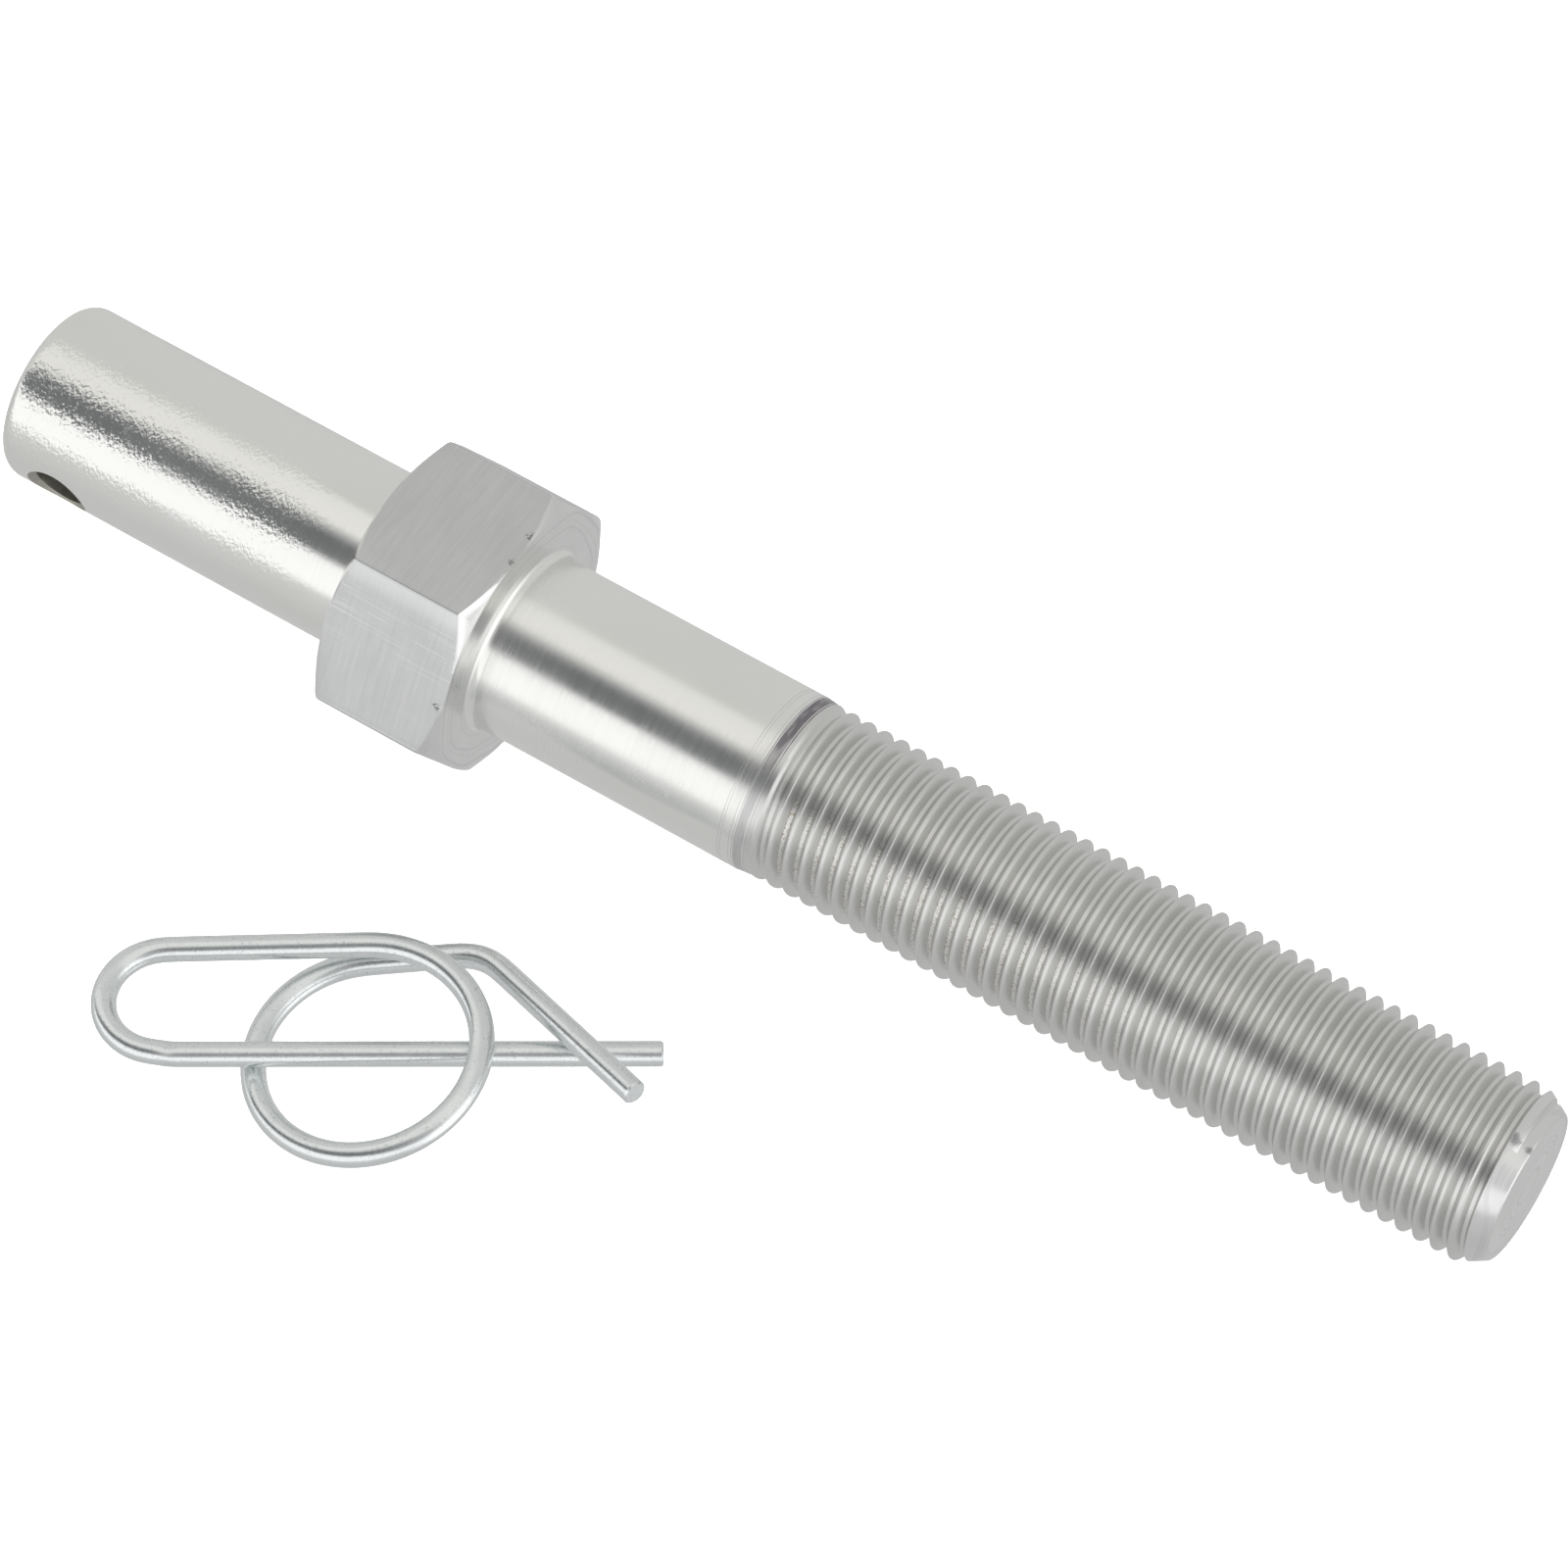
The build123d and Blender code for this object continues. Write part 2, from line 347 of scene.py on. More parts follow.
class Shading:
    """A new metal material's node tree, with short calls that add and join its nodes.

    Its places are in the frame the piece was made in: lie is the matrix that laid the piece down.
    """

    def __init__(self, name, lie):
        self.material = bpy.data.materials.new(name)
        self.material.use_nodes = True
        self.tree = self.material.node_tree
        self.surface = self.tree.nodes["Principled BSDF"]
        self.surface.inputs["Metallic"].default_value = 1.0
        laid = self.add("ShaderNodeTexCoord").outputs["Object"]
        upright = lie.inverted()
        inputs = {"Vector": laid, "Location": upright.translation, "Rotation": upright.to_euler()}
        self.place = self.add("ShaderNodeMapping", inputs).outputs[0]

    def add(self, kind, inputs=None, **settings):
        """One more node of this material."""
        return add_node(self.tree, kind, inputs, **settings)

    def math(self, operation, *values):
        """One Math node's result."""
        return self.add("ShaderNodeMath", dict(enumerate(values)), operation=operation).outputs[0]

    def total(self, values):
        """All the values added up."""
        result = values[0]
        for value in values[1:]:
            result = self.math("ADD", result, value)
        return result

    def scaled(self, scale, place=None):
        """The place stretched by a scale for each axis."""
        inputs = {0: place or self.place, 1: scale}
        return self.add("ShaderNodeVectorMath", inputs, operation="MULTIPLY").outputs[0]

    def noise(self, scale, detail=2.0, place=None):
        """Noise from 0 to 1 whose features are 1/scale metres apart along each axis."""
        inputs = {"Vector": self.scaled(scale, place), "Scale": 1.0, "Detail": detail}
        return self.add("ShaderNodeTexNoise", inputs).outputs["Fac"]

    def between(self, value, low, high, to_low=0.0, to_high=1.0):
        """The value's place between low and high, as a smooth step from to_low to to_high."""
        inputs = {"Value": value, "From Min": low, "From Max": high, "To Min": to_low, "To Max": to_high}
        return self.add("ShaderNodeMapRange", inputs, interpolation_type="SMOOTHSTEP").outputs[0]

    def mixed(self, share, first, second):
        """Two colours mixed by a share."""
        return self.add("ShaderNodeMix", {0: share, 6: first, 7: second}, data_type="RGBA").outputs[2]

    def axis_values(self):
        """Station, distance from the axis and the two coordinates across it, in metres."""
        parts = self.add("ShaderNodeSeparateXYZ", {0: self.place}).outputs
        square = self.math("ADD", self.math("POWER", parts[0], 2.0), self.math("POWER", parts[1], 2.0))
        return parts[2], self.math("SQRT", square), parts[0], parts[1]

    def tool_marks(self, spacing):
        """Rings left by a turning tool: lines along whichever of station and radius changes."""
        station, radius, *_ = self.axis_values()
        along = self.math("MULTIPLY", self.math("ADD", station, radius), 1 / (spacing * MM))
        drift = self.noise((60, 60, 60), 1.0)
        along = self.math("ADD", along, self.math("MULTIPLY", drift, 6.0))
        inputs = {"W": along, "Scale": 1.0, "Detail": 2.0}
        return self.add("ShaderNodeTexNoise", inputs, noise_dimensions="1D").outputs["Fac"]

    def ring_lines(self, lines):
        """1 on fine lines turned round the bar, given as (station, half-width), and 0 away from them."""
        shown = []
        for station, width in lines:
            away = self.math("ABSOLUTE", self.math("SUBTRACT", self.axis_values()[0], station * MM))
            shown.append(self.between(away, width * MM, width * MM * 0.2))
        return self.total(shown)

    def spots(self, places, softness=0.5):
        """1 near points given as (centre, radius), falling to 0 at the radius, with a ragged edge."""
        shown = []
        for centre, radius in places:
            inputs = {0: self.place, 1: Vector(centre) * MM}
            away = self.add("ShaderNodeVectorMath", inputs, operation="DISTANCE").outputs["Value"]
            ragged = self.math("SUBTRACT", self.noise((1400, 1400, 1400)), 0.5)
            away = self.math("ADD", away, self.math("MULTIPLY", ragged, radius * MM))
            shown.append(self.between(away, radius * MM, radius * MM * (1 - softness)))
        return self.total(shown)

    def bump(self, layers):
        """Adds relief given as (pattern, height), each layer on top of the one before."""
        normal = None
        for pattern, height in layers:
            inputs = {"Height": pattern, "Distance": height * MM, "Strength": 1.0}
            node = self.add("ShaderNodeBump", inputs)
            if normal:
                self.tree.links.new(normal, node.inputs["Normal"])
            normal = node.outputs[0]
        self.tree.links.new(normal, self.surface.inputs["Normal"])

    def finish(self, colour, roughness):
        """Joins the colour and roughness to the surface and gives the material."""
        self.tree.links.new(colour, self.surface.inputs["Base Color"])
        self.tree.links.new(roughness, self.surface.inputs["Roughness"])
        return self.material


def turned_aluminium(lie):
    """Bright turned bar: fine rings and cloudy staining, with an orange-peel grain along the pin."""
    metal = Shading("turned_aluminium", lie)
    station, *_ = metal.axis_values()
    cloud = metal.noise((90, 90, 45), 3.0)
    streaks = metal.noise((130, 130, 2600), 3.0)
    grain = metal.noise((1250, 1250, 2000), 2.0)
    on_pin = metal.between(station, -18 * MM, -26 * MM)
    patchy = metal.between(metal.noise((70, 70, 60), 2.0), 0.38, 0.55, 0.5, 1.0)
    grainy = metal.math("MULTIPLY", metal.between(station, -28 * MM, -42 * MM), patchy)
    peel = metal.math("MULTIPLY", grain, metal.math("ADD", grainy, 0.03))
    scored = metal.ring_lines(SHANK_LINES)
    clean = metal.mixed(cloud, (0.83, 0.83, 0.80, 1), (0.88, 0.88, 0.86, 1))
    clean = metal.mixed(metal.math("MULTIPLY", scored, 0.35), clean, (0.55, 0.55, 0.53, 1))
    rubbed = metal.math("MULTIPLY", metal.between(station, 44.5 * MM, 47.5 * MM), 0.07)
    rough = metal.math("ADD", metal.between(cloud, 0.35, 0.7, 0.15, 0.23), rubbed)
    rough = metal.math("ADD", rough, metal.between(streaks, 0.3, 0.7, 0.0, 0.06))
    rough = metal.math("SUBTRACT", rough, metal.math("MULTIPLY", on_pin, 0.06))
    metal.bump(((cloud, 0.03), (streaks, 0.0035), (peel, 0.13), (scored, -0.03)))
    return metal.finish(clean, rough)


def threaded_aluminium(lie):
    """The thread: fine lines left by the cutting tool, and specks of brown residue in the first roots."""
    metal = Shading("threaded_aluminium", lie)
    station, radius, _, sideways = metal.axis_values()
    grain = metal.noise((2200, 2200, 2200), 2.0)
    lines = metal.noise((170, 170, 7000), 3.0)
    cloud = metal.noise((110, 110, 60), 2.0)
    # Darker than the plain bar's colours: painted shade of the thread's grooves.
    clean = metal.mixed(cloud, (0.66, 0.66, 0.645, 1), (0.75, 0.75, 0.735, 1))
    clean = metal.mixed(metal.between(lines, 0.6, 0.75, 0, 0.35), clean, (0.54, 0.54, 0.52, 1))
    in_root = metal.between(radius, 13.5 * MM, 13.2 * MM)
    in_root = metal.math("MULTIPLY", in_root, metal.between(sideways, 4 * MM, 9 * MM))
    early = metal.between(station, 145 * MM, 85 * MM)
    specks = metal.between(metal.noise((3400, 3400, 3400), 1.0), 0.56, 0.64)
    residue = metal.math("MULTIPLY", metal.math("MULTIPLY", in_root, early), specks)
    colour = metal.mixed(metal.math("MULTIPLY", residue, 0.7), clean, (0.33, 0.26, 0.15, 1))
    rough = metal.math("ADD", metal.math("MULTIPLY", lines, 0.18), 0.22)
    metal.bump(((cloud, 0.02), (lines, 0.012), (grain, 0.008)))
    return metal.finish(colour, rough)


def milled_aluminium(lie):
    """The collar's flats: brushed round the bar, with fine lengthwise lines near the next flat's corner."""
    metal = Shading("milled_aluminium", lie)
    _, _, outwards, _ = metal.axis_values()
    brushed = metal.noise((170, 170, 6500), 4.0)
    lengthwise = metal.noise((5200, 5200, 110), 3.0)
    coarse = metal.noise((120, 120, 1700), 4.0)
    cloud = metal.noise((110, 110, 110), 2.0)
    below_corner = metal.between(outwards, 22.4 * MM, 22.1 * MM)
    near_corner = metal.between(outwards, 18.5 * MM, 21.2 * MM, 0.0, 0.5)
    strip = metal.math("MULTIPLY", below_corner, near_corner)
    outer_half = metal.between(outwards, 9 * MM, 15 * MM, 0.15, 1.0)
    lined = metal.math("MULTIPLY", below_corner, outer_half)
    scratch = metal.between(metal.noise((3800, 3800, 60), 2.0), 0.56, 0.68)
    scratch = metal.math("MULTIPLY", metal.math("MULTIPLY", scratch, lined), 0.4)
    light = metal.math("MAXIMUM", scratch, strip)
    tone = metal.math("ADD", metal.math("MULTIPLY", coarse, 0.7), metal.math("MULTIPLY", cloud, 0.3))
    clean = metal.mixed(tone, (0.54, 0.545, 0.545, 1), (0.72, 0.725, 0.725, 1))
    clean = metal.mixed(light, clean, (0.90, 0.91, 0.91, 1))
    broken = metal.between(metal.noise((2400, 2400, 2400), 2.0), 0.46, 0.56)
    chips = metal.math("MULTIPLY", metal.spots(CHIPS), broken)
    colour = metal.mixed(metal.math("MULTIPLY", chips, 0.8), clean, (0.16, 0.16, 0.16, 1))
    rough = metal.math("ADD", metal.math("MULTIPLY", brushed, 0.20), 0.32)
    crossing = metal.math("MULTIPLY", lengthwise, lined)
    metal.bump(((coarse, 0.008), (brushed, 0.012), (crossing, 0.01)))
    return metal.finish(colour, rough)


def stained_aluminium(lie):
    """The short chamfer where the thread begins: a purplish-grey burnt ring, paler on its lower side."""
    metal = Shading("stained_aluminium", lie)
    _, _, _, sideways = metal.axis_values()
    rings = metal.tool_marks(0.3)
    patch = metal.noise((260, 260, 1500), 3.0)
    upper = metal.between(sideways, 9 * MM, 1 * MM, 0.30, 1.0)
    burnt = metal.math("MULTIPLY", metal.between(patch, 0.30, 0.60, 0.55, 1.0), upper)
    bright = metal.ring_lines(RELIEF_LINES)
    colour = metal.mixed(burnt, (0.74, 0.74, 0.73, 1), (0.23, 0.215, 0.235, 1))
    colour = metal.mixed(metal.math("MULTIPLY", bright, 0.8), colour, (0.90, 0.90, 0.89, 1))
    rough = metal.math("ADD", metal.math("MULTIPLY", rings, 0.15), 0.26)
    metal.bump(((rings, 0.008), (patch, 0.01)))
    return metal.finish(colour, rough)


def drilled_aluminium(lie):
    """The wall of the cross-hole: dark, dull and oily."""
    metal = Shading("drilled_aluminium", lie)
    grime = metal.noise((900, 900, 900), 3.0)
    colour = metal.mixed(grime, (0.30, 0.29, 0.25, 1), (0.55, 0.54, 0.49, 1))
    rough = metal.math("ADD", metal.math("MULTIPLY", grime, 0.2), 0.38)
    metal.bump(((grime, 0.02),))
    return metal.finish(colour, rough)


def faced_aluminium(lie):
    """Shoulders, end faces and chamfers: fine turned rings; painted dark reflections on the end chamfer."""
    metal = Shading("faced_aluminium", lie)
    rings = metal.tool_marks(0.22)
    broad = metal.tool_marks(0.9)
    cloud = metal.noise((220, 220, 220), 2.0)
    station, radius, *_ = metal.axis_values()
    on_end = metal.between(station, 170 * MM, 171 * MM)
    on_chamfer = metal.math("MULTIPLY", on_end, metal.between(radius, 11.6 * MM, 12.4 * MM))
    clean = metal.mixed(cloud, (0.72, 0.725, 0.72, 1), (0.80, 0.80, 0.795, 1))
    clean = metal.mixed(metal.between(broad, 0.56, 0.7, 0.0, 0.35), clean, (0.56, 0.56, 0.56, 1))
    # Painted dark reflections on the end chamfer and its edge, where the studio's dark band would show.
    painted_reflection = metal.math("MULTIPLY", metal.spots(PAINTED_DARK_REFLECTIONS, 0.8), 0.7)
    colour = metal.mixed(painted_reflection, clean, (0.20, 0.20, 0.21, 1))
    rough = metal.between(broad, 0.3, 0.7, 0.12, 0.2)
    rough = metal.math("ADD", metal.math("MULTIPLY", rings, 0.14), rough)
    scored = metal.math("MULTIPLY", broad, metal.math("ADD", metal.math("MULTIPLY", on_chamfer, 1.5), 0.5))
    metal.bump(((cloud, 0.01), (scored, 0.01), (rings, 0.003)))
    return metal.finish(colour, rough)


def zinc_plating(lie):
    """Dull bright zinc over drawn wire: a fine crystalline grain, faint die lines and a few dull specks."""
    metal = Shading("zinc_plating", lie)
    along = metal.add("ShaderNodeUVMap", uv_map="wire").outputs[0]
    lines = metal.noise((26, 60, 1), 2.0, along)
    ripple = metal.noise((400, 400, 400), 2.0)
    fine = metal.noise((2500, 2500, 2500), 2.0)
    specks = metal.between(fine, 0.62, 0.72)
    clean = metal.mixed(ripple, (0.74, 0.775, 0.775, 1), (0.84, 0.86, 0.86, 1))
    colour = metal.mixed(metal.math("MULTIPLY", specks, 0.55), clean, (0.42, 0.44, 0.45, 1))
    rough = metal.between(fine, 0.3, 0.7, 0.13, 0.22)
    rough = metal.math("ADD", metal.math("MULTIPLY", lines, 0.12), rough)
    metal.bump(((ripple, 0.02), (lines, 0.008), (fine, 0.006)))
    return metal.finish(colour, rough)


# ---- the stud ----
end_centre = Vector(mounts["thread"]["pos_m"])
axis_dir = Vector(mounts["thread"]["axis"])
upper_flat_dir = Vector(mounts["spanner_flat"]["axis"])
side_dir = axis_dir.cross(upper_flat_dir)
lying = Matrix((upper_flat_dir, side_dir, axis_dir)).transposed().to_4x4()
lying.translation = end_centre - axis_dir * THREAD_END * MM
shoulder_foot = lying.translation - upper_flat_dir * HALF_FLAT * MM


# Slots of the stud's materials, in the order that make_stud lists them.
TURNED, THREADED, MILLED, STAINED, DRILLED, FACED = range(6)


def stud_face_material(face):
    """Which of the stud's materials a face takes, by where it lies."""
    centre = face.calc_center_median() / MM
    radius = math.hypot(centre.x, centre.y)
    if abs(face.normal.z) > 0.8 and (centre.z > THREAD_END - 1 or centre.z < PIN_END + 1):
        return FACED
    if centre.z > GROOVE_START:
        return THREADED
    if centre.z > SHANK_END:
        return STAINED
    if COLLAR_BACK - 0.1 < centre.z < 0.1 and radius > PLAIN_RADIUS + 0.9:
        return FACED if abs(face.normal.z) > 0.3 else MILLED
    return TURNED


def end_chamfer_outline():
    """Half section of what the end chamfer takes away, as (radius, station)."""
    reach = CREST_RADIUS + CUTTER_REACH
    cone_foot = THREAD_END - (reach - END_FACE_RADIUS) / CHAMFER_SLOPE
    return (
        (END_FACE_RADIUS - 2.0, THREAD_END + 1),
        (END_FACE_RADIUS + 0.1, THREAD_END - 0.2),
        (reach, cone_foot),
        (reach, THREAD_END + 1),
    )


def cross_hole_outline():
    """Half section of the cross-hole and both its countersinks, as (radius, distance from the axis)."""
    reach = PLAIN_RADIUS + CUTTER_REACH
    mouth_depth = (HOLE_MOUTH_RADIUS - HOLE_RADIUS) / HOLE_MOUTH_SLOPE
    wide = HOLE_MOUTH_RADIUS + CUTTER_REACH * HOLE_MOUTH_SLOPE
    return (
        (0, -reach),
        (wide, -reach),
        (HOLE_RADIUS, mouth_depth - PLAIN_RADIUS),
        (HOLE_RADIUS, PLAIN_RADIUS - mouth_depth),
        (wide, reach),
        (0, reach),
    )


def make_stud():
    """The stud: its turned, milled and threaded surface, with the end chamfer and the cross-hole cut."""
    materials = [
        turned_aluminium(lying),
        threaded_aluminium(lying),
        milled_aluminium(lying),
        stained_aluminium(lying),
        drilled_aluminium(lying),
        faced_aluminium(lying),
    ]
    mesh = stud_mesh()
    for face in mesh.faces:
        face.material_index = stud_face_material(face)
    stud = mesh_object("stud", mesh, materials)
    upright = (0, 0, 1)
    cut(stud, turned_solid("end_cutter", end_chamfer_outline(), upright, (0, 0, 0), materials[FACED], 192))
    turn = math.radians(HOLE_ANGLE)
    across = (math.cos(turn), math.sin(turn), 0)
    hole_centre = (0, 0, HOLE_STATION)
    cut(stud, turned_solid("hole_cutter", cross_hole_outline(), across, hole_centre, materials[DRILLED]))
    smooth(stud, 24)
    stud.data.transform(lying)
    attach(stud, "stud")
    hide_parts("threaded_stud")


# ---- the clip: plan positions are (along, across) from the straight leg's tip, in millimetres ----
WIRE_RADIUS = mounts["clip_leg"]["dims"]["r_mm"]
WIRE_STEP = 0.4
WIRE_SIDES = 28
WIRE_END_CHAMFER = 0.3
EASING_ROUNDS = 24
BEND_STEP = 3  # degrees
GRIP_END = -85.7
GRIP_RADIUS = 9.25
LEG_RISE = 0.066
RING_CENTRE = -45.2
RING_RADIUS = 17.8
RING_TOP_HEIGHT = 8.05
RING_EXIT_HEIGHT = 2.8
CORNER_ALONG = -27.4
CORNER_HEIGHT = 4.3
LEAD_OUT_END = (-4.0, -12.3, 11.0)
LEAD_OUT_BEND = 8.0
LEAD_OUT_BEND_STEPS = 12


def ring_height(angle):
    """Height of the ring's centre line: high over the straight leg, on the surface at its far side."""
    middle = (RING_TOP_HEIGHT + WIRE_RADIUS) / 2
    if angle >= 0:
        return RING_TOP_HEIGHT
    if angle >= -180:
        return middle + (RING_TOP_HEIGHT - middle) * math.cos(math.radians(angle))
    return WIRE_RADIUS + (RING_EXIT_HEIGHT - WIRE_RADIUS) * ((-180 - angle) / 90) ** 2


def wire_points():
    """The wire's centre line from the straight leg's tip to the lead-out leg's tip."""
    grip_height = WIRE_RADIUS - LEG_RISE * GRIP_END
    grip_centre = GRIP_END + GRIP_RADIUS
    points = [(0, 0, WIRE_RADIUS), (grip_centre, 0, WIRE_RADIUS - LEG_RISE * grip_centre)]
    for angle in range(-90 + BEND_STEP, -271, -BEND_STEP):
        turn = math.radians(angle)
        across = GRIP_RADIUS + GRIP_RADIUS * math.sin(turn)
        points.append((grip_centre + GRIP_RADIUS * math.cos(turn), across, grip_height))
    for angle in range(90, -271, -BEND_STEP):
        turn = math.radians(angle)
        along, across = RING_CENTRE + RING_RADIUS * math.cos(turn), RING_RADIUS * math.sin(turn)
        points.append((along, across, ring_height(angle)))
    corner = Vector((CORNER_ALONG, RING_RADIUS, CORNER_HEIGHT))
    out = (Vector(LEAD_OUT_END) - corner).normalized()
    back = (Vector(points[-1]) - corner).normalized()
    half = (math.pi - back.angle(out)) / 2
    reach = LEAD_OUT_BEND * math.tan(half)
    centre = corner + (back + out).normalized() * LEAD_OUT_BEND / math.cos(half)
    first, last = corner + back * reach - centre, corner + out * reach - centre
    for step in range(LEAD_OUT_BEND_STEPS + 1):
        outwards = first.lerp(last, step / LEAD_OUT_BEND_STEPS).normalized()
        points.append(tuple(centre + outwards * LEAD_OUT_BEND))
    points.append(LEAD_OUT_END)
    return np.array(points, float)


def evenly_spaced(points, step):
    """Points at equal distances along a line of points."""
    lengths = np.concatenate(([0], np.cumsum(np.linalg.norm(np.diff(points, axis=0), axis=1))))
    places = np.linspace(0, lengths[-1], int(lengths[-1] / step) + 1)
    return np.stack([np.interp(places, lengths, points[:, axis]) for axis in range(3)], axis=1)


def relaxed(points, rounds):
    """The line with its small kinks eased out; both ends stay."""
    for _ in range(rounds):
        points[1:-1] = (points[:-2] + 2 * points[1:-1] + points[2:]) / 4
    return points


def wire_stations(path):
    """Centre, direction and radius of each ring of vertices, with both ends' edges broken."""
    tangents = np.gradient(path, axis=0)
    tangents /= np.linalg.norm(tangents, axis=1)[:, None]
    start = path[0] + tangents[0] * WIRE_END_CHAMFER
    end = path[-1] - tangents[-1] * WIRE_END_CHAMFER
    cut_radius = WIRE_RADIUS - WIRE_END_CHAMFER
    stations = [(path[0], tangents[0], cut_radius), (start, tangents[0], WIRE_RADIUS)]
    stations += [(point, tangent, WIRE_RADIUS) for point, tangent in zip(path[2:-2], tangents[2:-2])]
    stations += [(end, tangents[-1], WIRE_RADIUS), (path[-1], tangents[-1], cut_radius)]
    return stations


def wire_mesh(stations):
    """Round wire through the stations; its "wire" map runs round it from 0 to 1 and along it in metres."""
    mesh = bmesh.new()
    uv = mesh.loops.layers.uv.new("wire")
    rings, normal = [], Vector((0, 0, 1))
    for point, tangent, radius in stations:
        tangent = Vector(tangent)
        normal = (normal - tangent * normal.dot(tangent)).normalized()
        across = tangent.cross(normal)
        ring = []
        for side in range(WIRE_SIDES):
            turn = math.tau * side / WIRE_SIDES
            offset = normal * math.cos(turn) + across * math.sin(turn)
            ring.append(mesh.verts.new((Vector(point) + offset * radius) * MM))
        rings.append(ring)
    for index, (ring, following) in enumerate(zip(rings, rings[1:])):
        for side in range(WIRE_SIDES):
            after = (side + 1) % WIRE_SIDES
            face = mesh.faces.new((ring[side], ring[after], following[after], following[side]))
            corners = ((side, index), (side + 1, index), (side + 1, index + 1), (side, index + 1))
            for loop, (across_place, along_place) in zip(face.loops, corners):
                loop[uv].uv = (across_place / WIRE_SIDES, along_place * WIRE_STEP * MM)
    for ring in (rings[0], rings[-1]):
        mesh.faces.new(ring)
    bmesh.ops.recalc_face_normals(mesh, faces=mesh.faces)
    return mesh


def make_clip():
    """The clip: round wire swept along its bends, laid beside the stud."""
    path = relaxed(evenly_spaced(wire_points(), WIRE_STEP), EASING_ROUNDS)
    along = Vector(mounts["clip_leg"]["axis"])
    up = Vector((0, 0, 1))
    lay = Matrix((along, up.cross(along), up)).transposed().to_4x4()
    lay.translation = Vector(mounts["clip_leg"]["pos_m"]) - up * WIRE_RADIUS * MM
    clip = mesh_object("clip", wire_mesh(wire_stations(path)), [zinc_plating(lay)])
    smooth(clip, 30)
    clip.data.transform(lay)
    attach(clip, "clip")
    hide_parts("spring_clip")


# ---- studio ----


# Half section of the floor, in millimetres: level, then curving up far behind, with a thickness below.
FLOOR_OUTLINE = (
    (0, 0),
    (4000, 0),
    (5000, 400),
    (5600, 1500),
    (5700, 1500),
    (5100, 300),
    (4100, -20),
    (0, -20),
)


def make_floor():
    """A white floor that curves up far behind; reflections don't see it, so metal mirrors the studio."""
    white = bpy.data.materials.new("floor_white")
    white.use_nodes = True
    surface = white.node_tree.nodes["Principled BSDF"]
    surface.inputs["Base Color"].default_value = (0.93, 0.93, 0.93, 1)
    surface.inputs["Roughness"].default_value = 1.0
    surface.inputs["Specular IOR Level"].default_value = 0.0
    floor = turned_solid("floor", FLOOR_OUTLINE, (0, 0, 1), (0, 0, 0), white)
    floor.visible_glossy = False


# What the studio shows round the stud: degrees from overhead towards the camera's side, brightness, tint.
STUDIO_BANDS = (
    (-180, 0.60, (1.0, 1.0, 1.0)),
    (-95, 0.66, (1.0, 1.0, 0.99)),
    (-24, 0.66, (1.0, 1.0, 0.98)),
    (-16, 0.86, (1.0, 0.995, 0.97)),
    (10, 0.90, (1.0, 0.99, 0.96)),
    (21, 0.36, (0.97, 0.99, 1.0)),
    (27, 0.17, (0.93, 0.97, 1.0)),
    (48, 0.21, (0.93, 0.97, 1.0)),
    (56, 1.12, (1.0, 1.0, 1.0)),
    (92, 1.16, (1.0, 1.0, 1.0)),
    (97, 0.70, (1.0, 1.0, 1.0)),
    (140, 0.60, (1.0, 1.0, 1.0)),
    (180, 0.60, (1.0, 1.0, 1.0)),
)

# A panel on the thread's side lightens what is darker than it. Both pairs of places are a direction's X:
# where the panel fades in, and where it grows from its lower brightness to its higher one.
SIDE_PANEL = (0.0, 0.75)
BRIGHTER_PART = (0.72, 0.95)
SIDE_PANEL_BRIGHTNESS = (0.50, 1.40)

# The broad light, in degrees: its apparent size and its tilt from straight down.
BROAD_LIGHT_ENERGY = 5.0
BROAD_LIGHT_SIZE = 120
BROAD_LIGHT_TILT = (-12, 10)

# The photograph's viewpoint, fitted to it: degrees, and metres from the foot of the thread-side shoulder.
CAMERA_AZIMUTH = 35.58
CAMERA_ELEVATION = 56.70
CAMERA_ROLL = 3.594
CAMERA_FROM_FOOT = (0.41668, -0.51317, 0.98086)
CAMERA_LENS = 171.7
CAMERA_SENSOR_WIDTH = 36


def studio_bands(tree, direction, brightest):
    """Colour of the bands in a direction, by its angle round X from overhead."""
    towards = add_node(tree, "ShaderNodeMath", {0: direction[1], 1: -1.0}, operation="MULTIPLY").outputs[0]
    angle = add_node(tree, "ShaderNodeMath", {0: towards, 1: direction[2]}, operation="ARCTAN2").outputs[0]
    turn = {"Value": angle, "From Min": -math.pi, "From Max": math.pi}
    share = add_node(tree, "ShaderNodeMapRange", turn).outputs[0]
    bands = add_node(tree, "ShaderNodeValToRGB", {0: share})
    ramp = bands.color_ramp
    while len(ramp.elements) < len(STUDIO_BANDS):
        ramp.elements.new(0.5)
    for element, (degrees, brightness, tint) in zip(ramp.elements, STUDIO_BANDS):
        element.position = (degrees + 180) / 360
        element.color = (*[channel * brightness / brightest for channel in tint], 1)
    return bands.outputs[0]


def along_x(tree, direction, places, values=(0.0, 1.0), **settings):
    """A value that goes from the first to the second as a direction's X goes between two places."""
    inputs = {"Value": direction[0], "From Min": places[0], "From Max": places[1]}
    inputs.update({"To Min": values[0], "To Max": values[1]})
    return add_node(tree, "ShaderNodeMapRange", inputs, **settings).outputs[0]


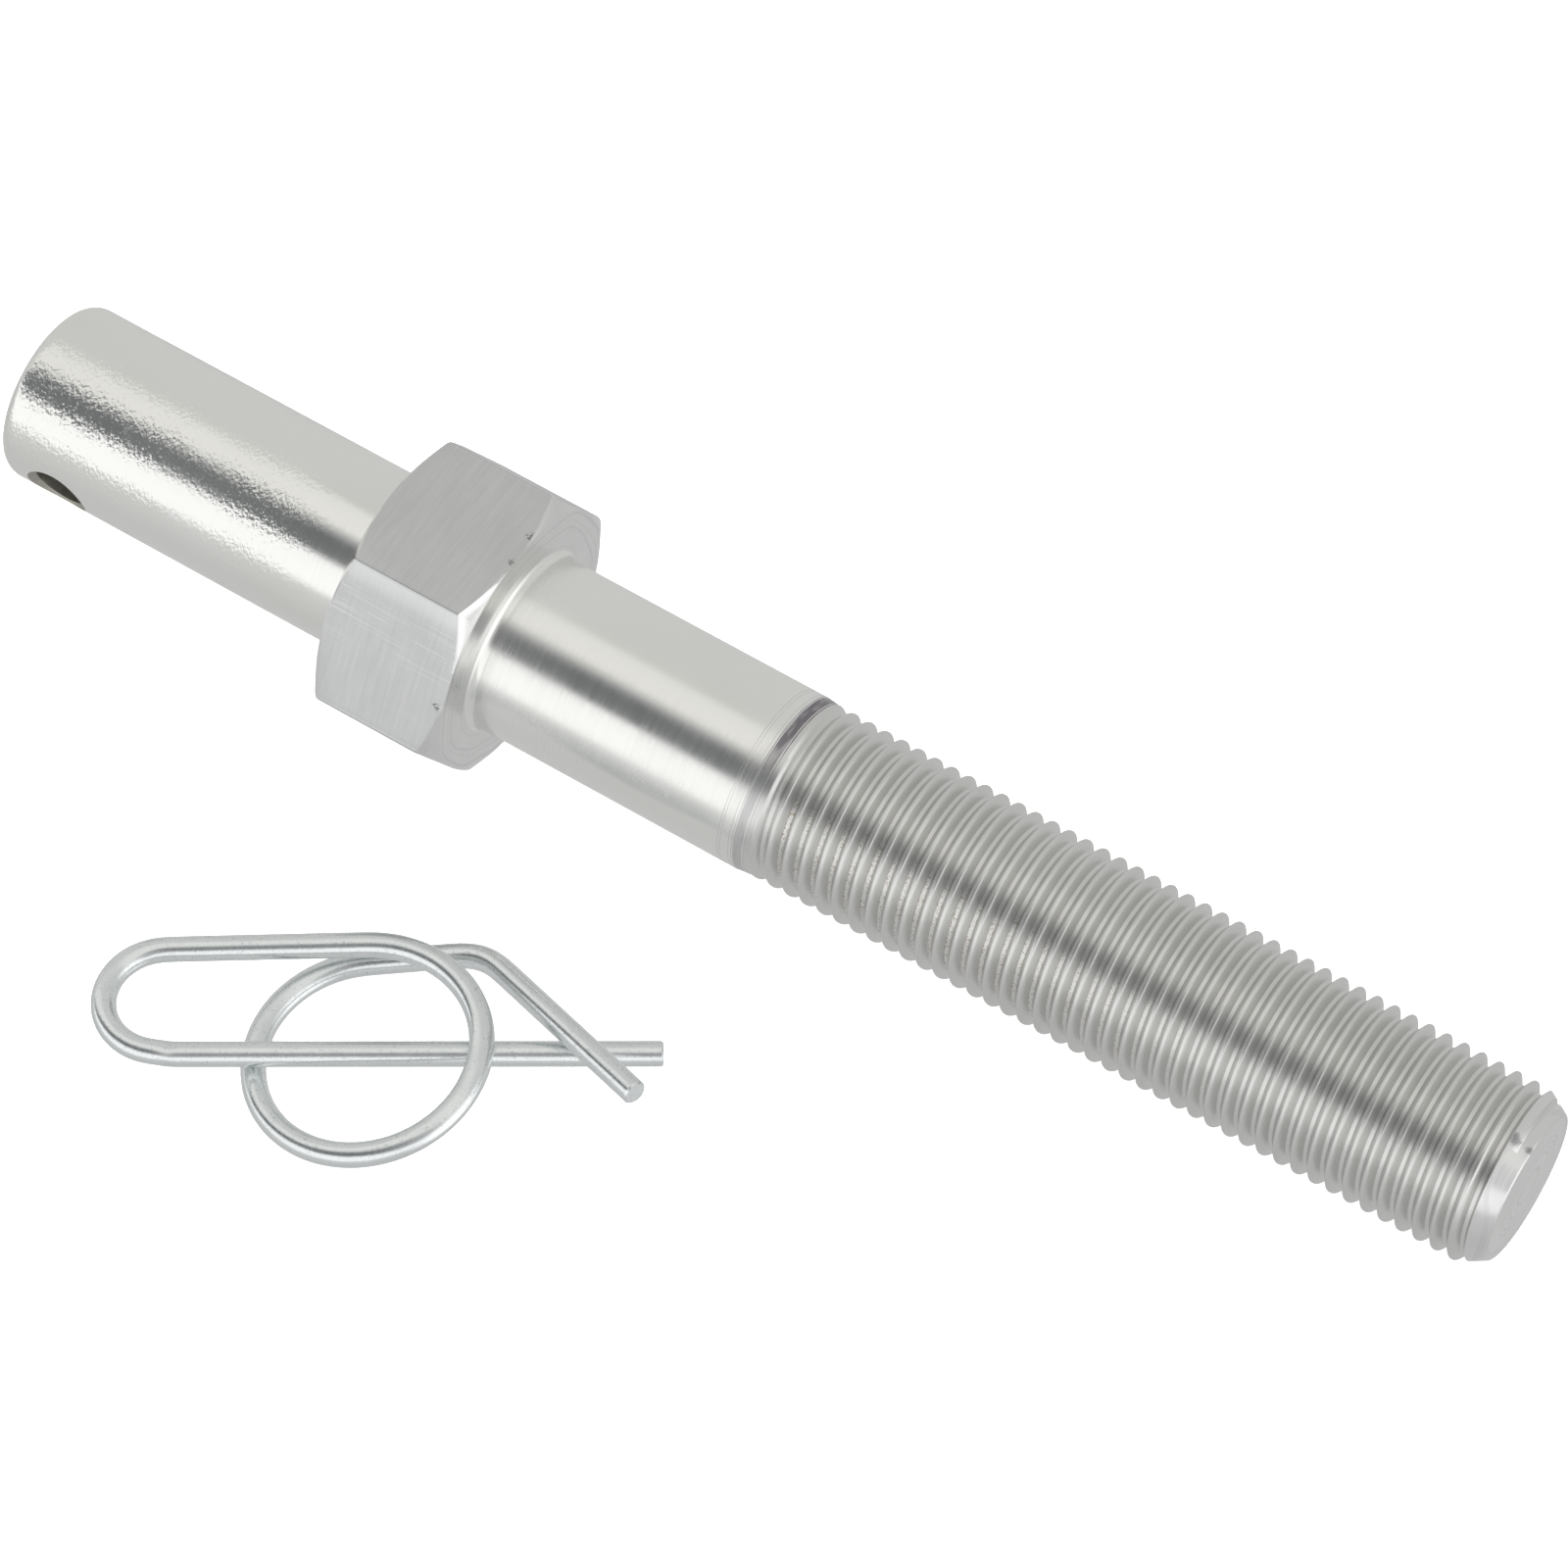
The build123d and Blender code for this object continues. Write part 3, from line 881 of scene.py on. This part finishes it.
def light_world():
    """A soft studio as a wrap of bright and dark bands, with a panel on the thread's side."""
    world = bpy.data.worlds.new("studio")
    bpy.context.scene.world = world
    world.use_nodes = True
    tree = world.node_tree
    generated = add_node(tree, "ShaderNodeTexCoord").outputs["Generated"]
    direction = add_node(tree, "ShaderNodeSeparateXYZ", {0: generated}).outputs
    brightest = max(brightness for _, brightness, _ in STUDIO_BANDS)
    shown = along_x(tree, direction, SIDE_PANEL, interpolation_type="SMOOTHSTEP")
    levels = [brightness / brightest for brightness in SIDE_PANEL_BRIGHTNESS]
    panel = along_x(tree, direction, BRIGHTER_PART, levels)
    layers = {0: shown, 6: studio_bands(tree, direction, brightest), 7: panel}
    wrapped = add_node(tree, "ShaderNodeMix", layers, data_type="RGBA", blend_type="LIGHTEN")
    background = tree.nodes["Background"]
    background.inputs["Strength"].default_value = brightest
    tree.links.new(wrapped.outputs[2], background.inputs["Color"])


def light_floor():
    """A broad light from above, without shadows, that whitens the floor."""
    light = bpy.data.lights.new("broad_light", "SUN")
    light.energy = BROAD_LIGHT_ENERGY
    light.use_shadow = False
    light.angle = math.radians(BROAD_LIGHT_SIZE)
    sun = bpy.data.objects.new("broad_light", light)
    sun.rotation_euler = (*[math.radians(tilt) for tilt in BROAD_LIGHT_TILT], 0)
    sun.visible_glossy = False
    bpy.context.collection.objects.link(sun)


def place_camera():
    """The photograph's viewpoint: from above and to the thread's side, with a long lens."""
    azimuth = math.radians(CAMERA_AZIMUTH)
    elevation = math.radians(CAMERA_ELEVATION)
    roll = math.radians(CAMERA_ROLL)
    level_right = Vector((math.cos(azimuth), math.sin(azimuth), 0))
    reach = math.cos(elevation)
    forward = Vector((-math.sin(azimuth) * reach, math.cos(azimuth) * reach, -math.sin(elevation)))
    level_up = level_right.cross(forward)
    right = level_right * math.cos(roll) - level_up * math.sin(roll)
    up = level_up * math.cos(roll) + level_right * math.sin(roll)
    camera = bpy.data.objects.new("camera", bpy.data.cameras.new("camera"))
    camera.matrix_world = Matrix((right, up, -forward)).transposed().to_4x4()
    camera.location = shoulder_foot + Vector(CAMERA_FROM_FOOT)
    camera.data.lens = CAMERA_LENS
    camera.data.sensor_width = CAMERA_SENSOR_WIDTH
    camera.data.clip_start = 0.05
    bpy.context.collection.objects.link(camera)
    bpy.context.scene.camera = camera


make_stud()
make_clip()
make_floor()
light_world()
light_floor()
place_camera()
bpy.context.scene.view_settings.view_transform = "Standard"
